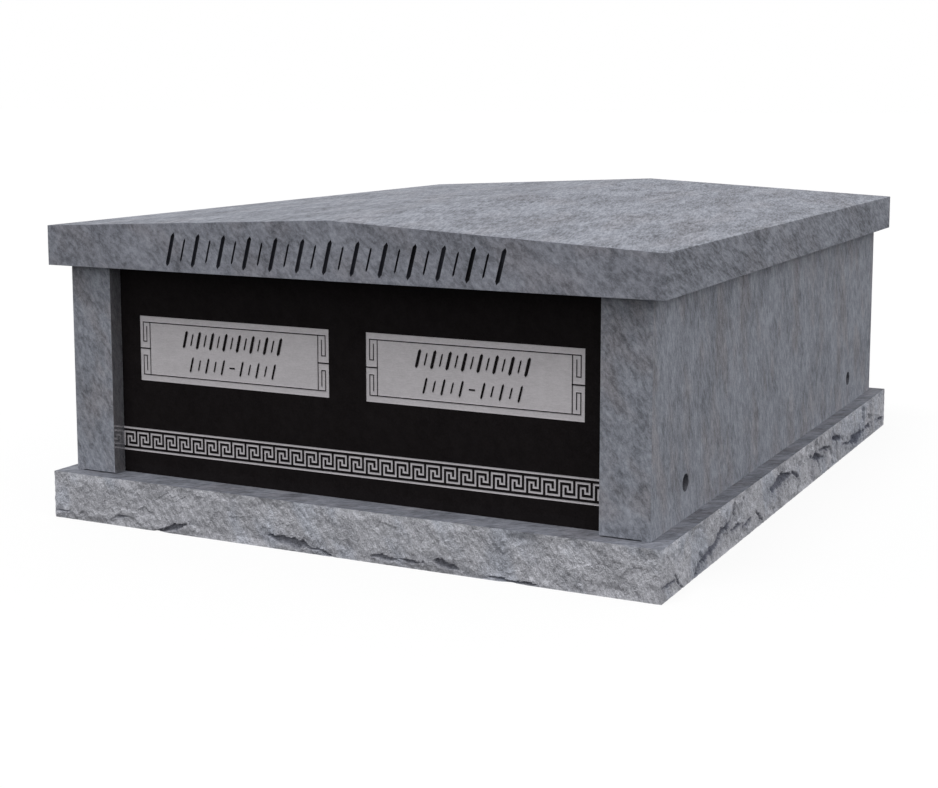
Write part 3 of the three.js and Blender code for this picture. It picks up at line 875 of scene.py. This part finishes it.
def key_band(settings, back, front):
    """The band as a solid: a grid of cells, less those off its lines, run through the polish."""
    cell_width = (PANEL_HIGH.x - PANEL_LOW.x) / KEY_CELLS_ACROSS
    cell_height = settings.band_height / KEY_BAND_CELLS
    foot = PANEL_HIGH.z - settings.band_drop - settings.band_height
    columns = KEY_CELLS_ACROSS + 2 * KEY_SPARE
    left = PANEL_LOW.x - KEY_SPARE * cell_width
    across = Matrix.Diagonal((columns * cell_width, settings.band_height, 1.0, 1.0))
    middle = Vector((left + columns * cell_width / 2, front, foot + settings.band_height / 2))
    place = Matrix.Translation(middle) @ Matrix.Rotation(math.pi / 2, 4, "X") @ across
    shape = bmesh.new()
    bmesh.ops.create_grid(shape, x_segments=columns, y_segments=KEY_BAND_CELLS, size=0.5, matrix=place)
    cells = key_cells()
    polished = []
    for face in shape.faces:
        spot = face.calc_center_median()
        cell = (math.floor((spot.x - PANEL_LOW.x) / cell_width), math.floor((spot.z - foot) / cell_height))
        if cell not in cells:
            polished.append(face)
    bmesh.ops.delete(shape, geom=polished, context="FACES")
    trim = bmesh.ops.inset_region(shape, faces=shape.faces[:], thickness=settings.band_trim,
                                  use_boundary=True, use_even_offset=True)
    bmesh.ops.delete(shape, geom=trim["faces"], context="FACES")
    run = bmesh.ops.extrude_face_region(shape, geom=shape.faces[:])
    corners = [part for part in run["geom"] if isinstance(part, bmesh.types.BMVert)]
    bmesh.ops.translate(shape, vec=(0.0, back - front, 0.0), verts=corners)
    return shape


def plate_lines(shape, settings, middle, back, front):
    """Lines left polished on a plate: a frame whose corners turn in as hooks, and a bar across each end."""
    rise = settings.plate_height / 2 - FRAME_INSET
    edge = settings.plate_width / 2

    def line(from_x, from_z, to_x, to_z, width):
        """Adds a level or upright line with square ends."""
        low = (middle[0] + min(from_x, to_x) - width / 2, middle[1] + min(from_z, to_z) - width / 2)
        high = (middle[0] + max(from_x, to_x) + width / 2, middle[1] + max(from_z, to_z) + width / 2)
        bar(shape, low, high, back, front)

    width = settings.line_width
    for side in (-1, 1):
        outer, inner, column = (side * (edge - inset) for inset in (HOOK_OUTER, HOOK_INNER, HOOK_COLUMN))
        line(column, -rise, column, rise, width)
        line(column, 0.0, side * edge, 0.0, MID_BAR)
        for end in (-1, 1):
            line(outer, end * HOOK_TURN, outer, end * rise, width)
            line(inner, end * HOOK_TURN, outer, end * HOOK_TURN, width)
            line(inner, end * HOOK_TURN, inner, end * HOOK_END, width)
    for end in (-1, 1):
        line(HOOK_OUTER - edge, end * rise, edge - HOOK_OUTER, end * rise, width)


def plate(settings, strokes, middle, back, front, finish):
    """One blasted plate as a cutter: its field, less the lines and strokes that stay polished."""
    half = (settings.plate_width / 2, settings.plate_height / 2)
    field_shape = bmesh.new()
    bar(field_shape, (middle[0] - half[0], middle[1] - half[1]), (middle[0] + half[0], middle[1] + half[1]),
        back, front)
    field = add_object("plate_field", field_shape, [finish])
    back_clear = back + CUT_OVERRUN
    front_clear = front - CUT_OVERRUN
    kept = bmesh.new()
    plate_lines(kept, settings, middle, back_clear, front_clear)
    add_stroke_row(kept, strokes, UPPER_ROW, (middle[0], middle[1] + UPPER_ROW_RISE), back_clear, front_clear)
    lower_z = middle[1] + LOWER_ROW_RISE
    for side in (-1, 1):
        add_stroke_row(kept, strokes, LOWER_ROW, (middle[0] + side * LOWER_ROW_SPREAD, lower_z),
                       back_clear, front_clear)
    dash = (LOWER_ROW_DASH[0] / 2, LOWER_ROW_DASH[1] / 2)
    bar(kept, (middle[0] - dash[0], lower_z - dash[1]), (middle[0] + dash[0], lower_z + dash[1]),
        back_clear, front_clear)
    carve(field, add_object("plate_lines", kept, [finish]))
    return field


def front_panel(slab, settings, strokes, stone):
    """The black panel with its two blasted plates and its key band."""
    shape = box_between(PANEL_LOW, PANEL_HIGH)
    ease_arrises(shape, slab.panel_arris)
    polish = black_granite("panel_polish", stone)
    blast = blasted_granite("panel_blast", stone)
    panel = add_object("engraved_front_panel", shape, [polish])
    back = PANEL_LOW.y + settings.blast_depth
    front = PANEL_LOW.y - CUT_OVERRUN
    carve(panel, add_object("key_band", key_band(settings, back, front), [blast]))
    plate_z = PANEL_HIGH.z - settings.plate_drop - settings.plate_height / 2
    half = settings.plate_width / 2
    for x in (PANEL_LOW.x + settings.left_margin + half, PANEL_HIGH.x - settings.right_margin - half):
        carve(panel, plate(settings, strokes, (x, plate_z), back, front, blast))
    fit(panel, "front_panel")


# Roof

def eave_height():
    """Height of the roof's long top edges, from the frame's own slab."""
    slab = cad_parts["roof_slab"].data
    return max(vert.co.z for vert in slab.vertices if vert.co.x > ROOF_HIGH.x - TOUCHING)


def roof_slab(slab, strokes, stone):
    """The roof: a slab with a low gable, and the row of painted strokes on its front."""
    eave = eave_height()
    shape = box_between(ROOF_LOW, Vector((ROOF_HIGH.x, ROOF_HIGH.y, eave)))
    everything = shape.verts[:] + shape.edges[:] + shape.faces[:]
    bmesh.ops.bisect_plane(shape, geom=everything, plane_co=(0.0, 0.0, 0.0), plane_no=(1.0, 0.0, 0.0))
    ridge = [vert for vert in shape.verts
             if abs(vert.co.x) < TOUCHING and vert.co.z > ROOF_LOW.z + TOUCHING]
    bmesh.ops.translate(shape, vec=(0.0, 0.0, ROOF_HIGH.z - eave), verts=ridge)
    ease_arrises(shape, slab.roof_arris)
    for face in shape.faces:
        if abs(face.normal.y) > FACING:
            face.material_index = ROOF_GABLE
    finishes = (roof_granite("roof_sawn", stone, ROOF_PLACE), gable_granite("roof_gable", stone, ROOF_PLACE))
    roof = add_object("gabled_roof", shape, finishes)
    row = bmesh.new()
    back = ROOF_LOW.y + strokes.depth
    front = ROOF_LOW.y - STROKE_OVERRUN
    middle = (0.0, ROOF_LOW.z + ROOF_ROW_RISE)
    add_stroke_row(row, strokes, ROOF_ROW, middle, back, front, strokes.floor_share)
    carve(roof, add_object("roof_strokes", row, [stroke_paint("roof_stroke_paint", stone)]))
    fit(roof, "roof_slab")


class MAUSOLEUM_OT_base(Operator):
    """Make the base with its rock-pitched faces"""
    bl_idname = "mausoleum.base"
    bl_label = "Base"

    def execute(self, context):
        settings = context.scene.mausoleum
        finishes = (rock_granite("base_rock", settings.stone, BASE_ROCK_PLACE),
                    ledge_granite("base_sawn", settings.stone, BASE_TOP_PLACE))
        piece = add_object("rock_pitched_base", base_slab(settings.rock), finishes)
        fit(piece, "base_slab")
        return {"FINISHED"}


class MAUSOLEUM_OT_walls(Operator):
    """Make the two side walls and the back wall"""
    bl_idname = "mausoleum.walls"
    bl_label = "Walls"

    def execute(self, context):
        settings = context.scene.mausoleum
        side_wall("left_side_wall", "left_wall", settings.slab, settings.stone, LEFT_WALL_PLACE)
        side_wall("right_side_wall", "right_wall", settings.slab, settings.stone, RIGHT_WALL_PLACE)
        back_wall(settings.slab, settings.stone)
        return {"FINISHED"}


class MAUSOLEUM_OT_panel(Operator):
    """Make the black front panel with its blasted plates and key band"""
    bl_idname = "mausoleum.panel"
    bl_label = "Front panel"

    def execute(self, context):
        settings = context.scene.mausoleum
        front_panel(settings.slab, settings.panel, settings.stroke, settings.stone)
        return {"FINISHED"}


class MAUSOLEUM_OT_roof(Operator):
    """Make the gabled roof slab with its row of strokes"""
    bl_idname = "mausoleum.roof"
    bl_label = "Roof"

    def execute(self, context):
        settings = context.scene.mausoleum
        roof_slab(settings.slab, settings.stroke, settings.stone)
        return {"FINISHED"}


class MAUSOLEUM_OT_stage(Operator):
    """Make the floor, the light and the camera"""
    bl_idname = "mausoleum.stage"
    bl_label = "Stage"

    def execute(self, context):
        scene = context.scene
        settings = scene.mausoleum.stage
        scene.view_settings.view_transform = "Standard"
        lay_floor(settings)
        hang_light(scene, settings)
        set_camera(scene, settings)
        return {"FINISHED"}


def lay_floor(settings):
    """A plain pale floor under the base. Seen straight it is near white; it throws little light back."""
    shape = bmesh.new()
    bmesh.ops.create_grid(shape, x_segments=1, y_segments=1, size=settings.floor_reach)
    finish = bpy.data.materials.new("studio_floor")
    finish.use_nodes = True
    tree = finish.node_tree
    shader = tree.nodes["Principled BSDF"]
    seen = add_node(tree, "ShaderNodeLightPath").outputs["Is Camera Ray"]
    unseen = (settings.floor_bounce, settings.floor_bounce, settings.floor_bounce, 1.0)
    plug(tree, shader.inputs["Base Color"], mix_colour(tree, seen, unseen, settings.floor))
    plug(tree, shader.inputs["Emission Strength"], times(tree, seen, settings.floor_lift))
    shader.inputs["Emission Color"].default_value = WHITE
    shader.inputs["Roughness"].default_value = 1.0
    shader.inputs["Specular IOR Level"].default_value = 0.0
    add_object("studio_floor", shape, [finish])


def add_sun(scene, name, strength, source, width):
    """A broad light from far away."""
    light = bpy.data.lights.new(name, "SUN")
    light.energy = strength
    light.angle = width
    lamp = bpy.data.objects.new(name, light)
    lamp.rotation_euler = Vector(source).to_track_quat("Z", "Y").to_euler()
    scene.collection.objects.link(lamp)


def hang_light(scene, settings):
    """Soft light from the whole sky, from high in front and from the right, before a white background."""
    add_sun(scene, "front_light", settings.front_strength, settings.front_from, settings.front_width)
    add_sun(scene, "side_light", settings.side_strength, settings.side_from, settings.side_width)
    world = bpy.data.worlds.new("studio")
    world.use_nodes = True
    tree = world.node_tree
    seen = add_node(tree, "ShaderNodeLightPath").outputs["Is Camera Ray"]
    backdrop = tree.nodes["Background"]
    backdrop.inputs["Color"].default_value = WHITE
    plug(tree, backdrop.inputs["Strength"], mix_value(tree, seen, settings.sky_strength, 1.0))
    scene.world = world


def set_camera(scene, settings):
    """The camera at the photograph's place."""
    lens = bpy.data.cameras.new("camera")
    lens.sensor_width = SENSOR_WIDTH
    lens.lens = settings.lens
    lens.shift_y = settings.rise
    camera = bpy.data.objects.new("camera", lens)
    camera.location = settings.eye
    camera.rotation_euler = (math.pi / 2 - settings.tilt, 0.0, settings.yaw)
    scene.collection.objects.link(camera)
    scene.camera = camera


OPERATORS = (MAUSOLEUM_OT_base, MAUSOLEUM_OT_walls, MAUSOLEUM_OT_panel, MAUSOLEUM_OT_roof, MAUSOLEUM_OT_stage)


class MAUSOLEUM_PT_sidebar(Panel):
    """Lists the pieces and their settings"""
    bl_label = "Mausoleum"
    bl_space_type = "VIEW_3D"
    bl_region_type = "UI"
    bl_category = "Mausoleum"

    def draw(self, context):
        for operator in OPERATORS:
            self.layout.operator(operator.bl_idname)
        settings = context.scene.mausoleum
        for name in MausoleumSettings.__annotations__:
            group = getattr(settings, name)
            box = self.layout.box()
            box.label(text=name.capitalize())
            for value in group.__annotations__:
                box.prop(group, value)


CLASSES = (SlabSettings, RockSettings, StrokeSettings, PanelSettings, StoneSettings, StageSettings,
           MausoleumSettings, *OPERATORS, MAUSOLEUM_PT_sidebar)


def register():
    """Adds the classes and the scene's settings."""
    for cls in CLASSES:
        bpy.utils.register_class(cls)
    bpy.types.Scene.mausoleum = PointerProperty(type=MausoleumSettings)


def unregister():
    """Takes the settings and the classes away again."""
    del bpy.types.Scene.mausoleum
    for cls in reversed(CLASSES):
        bpy.utils.unregister_class(cls)


def main():
    """Makes every piece."""
    register()
    bpy.ops.mausoleum.base()
    bpy.ops.mausoleum.walls()
    bpy.ops.mausoleum.panel()
    bpy.ops.mausoleum.roof()
    bpy.ops.mausoleum.stage()


if __name__ == "__main__":
    main()
